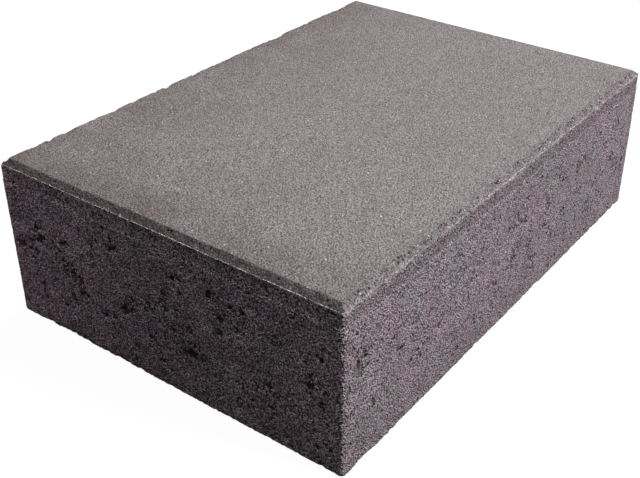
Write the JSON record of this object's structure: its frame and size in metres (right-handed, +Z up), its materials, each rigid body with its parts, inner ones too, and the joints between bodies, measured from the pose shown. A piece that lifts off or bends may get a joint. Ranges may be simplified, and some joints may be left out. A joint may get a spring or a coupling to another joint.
{
  "type": "concrete block step",
  "caption": "Solid rectangular concrete step block with a smooth tread, chamfered tread edges and rough riser, back and ends.",
  "frame": {"origin": "middle of the bed face, the face that the block rests on", "axes": "+X along the step, +Y from the riser towards the back, +Z up through the tread"},
  "size_m": [0.5, 0.35, 0.15],
  "materials": {
    "cast_concrete": "matte"
  },
  "bodies": {
    "root": {"block_step": "cast_concrete"}
  },
  "joints": []
}
